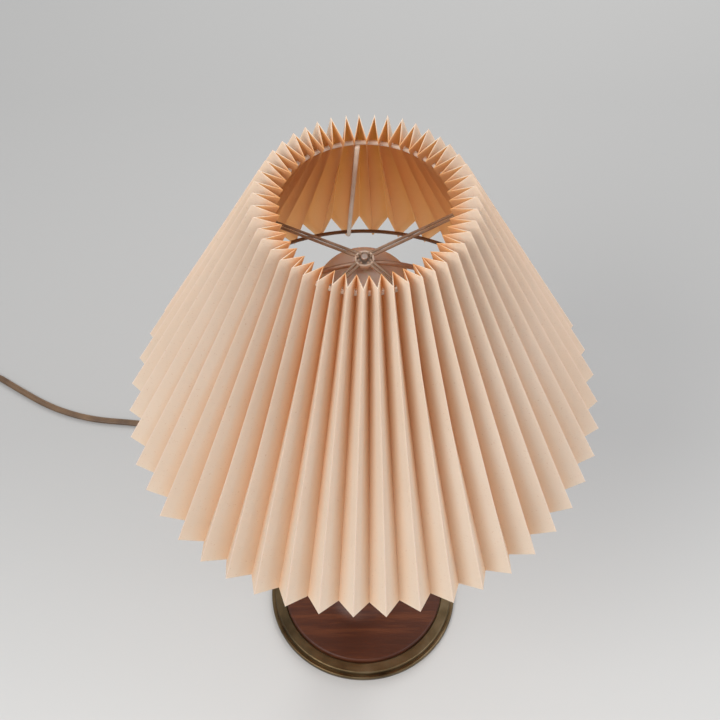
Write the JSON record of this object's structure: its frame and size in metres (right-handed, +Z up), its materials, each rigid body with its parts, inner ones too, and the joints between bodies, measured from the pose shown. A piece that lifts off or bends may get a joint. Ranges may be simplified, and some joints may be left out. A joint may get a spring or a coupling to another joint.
{
  "type": "pleated shade table lamp",
  "caption": "Table lamp with a wide pleated paper shade on a wire frame, carried by a harp over an opal globe bulb, on a slender turned wood column and a round stepped foot.",
  "frame": {"origin": "centre of the underside of the felt under the foot, on the table", "axes": "+Z up along the column; -Y is the front of the lamp; the cord leaves to the back left (-X, +Y)"},
  "size_m": [0.6882, 0.4549, 0.5092],
  "materials": {
    "felt": "woollen felt",
    "brass": "aged, lacquered brass, satin",
    "iron": "as cast",
    "steel": "zinc plated",
    "teak": "oiled teak, turned",
    "harp_wire": "brassed steel wire",
    "bakelite": "dark brown moulded thermoset",
    "porcelain": "white glaze",
    "contact_brass": "plain brass",
    "opal_glass": "opal white glass",
    "black_glass": "black glass",
    "solder": "tinned",
    "shade_paper": "pleated shade paper, matte with a laid rib",
    "frame_wire": "wire frame, cream enamel",
    "cord_plastic": "brown flexible vinyl",
    "tie_paper": "kraft paper strip"
  },
  "bodies": {
    "stand": {"felt_pad": "felt", "foot_shell": "brass", "ballast": "iron", "foot_screws": "steel", "teak_plinth": "teak", "teak_column": "teak", "threaded_rod": "steel", "rod_nut": "steel", "rod_washer": "steel", "column_cap": "brass", "harp_saddle": "steel", "harp_bow": "harp_wire", "harp_sleeves": "brass", "shade_stud": "brass", "holder_base": "bakelite", "holder_shell": "bakelite", "holder_insert": "porcelain", "terminal_screws": "contact_brass", "screw_shell": "contact_brass", "centre_contact": "contact_brass", "cord_relief": "cord_plastic", "cord_in_foot": "cord_plastic", "cord_cores": "cord_plastic", "cord": "cord_plastic", "cord_coil": "cord_plastic", "cord_tail": "cord_plastic", "coil_tie": "tie_paper", "plug_body": "cord_plastic", "plug_blades": "contact_brass"},
    "switch": {"switch_knob": "bakelite", "switch_spindle": "contact_brass"},
    "bulb": {"bulb_glass": "opal_glass", "bulb_cap": "contact_brass", "bulb_insulator": "black_glass", "bulb_contact": "solder"},
    "shade": {"pleated_shade": "shade_paper", "top_ring": "frame_wire", "bottom_ring": "frame_wire", "frame_strut_1": "frame_wire", "frame_strut_2": "frame_wire", "frame_strut_3": "frame_wire", "frame_strut_4": "frame_wire", "frame_strut_5": "frame_wire", "frame_strut_6": "frame_wire", "hub_ring": "frame_wire", "hub_arm_1": "frame_wire", "hub_arm_2": "frame_wire", "hub_arm_3": "frame_wire", "hub_arm_4": "frame_wire"}
  },
  "joints": [
    {"name": "shade_turn", "type": "hinge", "parent": "stand", "child": "shade", "pos_m": [0, 0, 0.4552], "axis": [0, 0, 1], "continuous": true},
    {"name": "bulb_turn", "type": "hinge", "parent": "stand", "child": "bulb", "pos_m": [0, 0, 0.36], "axis": [0, 0, 1], "continuous": true},
    {"name": "switch_turn", "type": "hinge", "parent": "stand", "child": "switch", "pos_m": [0, -0.025, 0.3234], "axis": [0, -1, 0], "continuous": true}
  ]
}
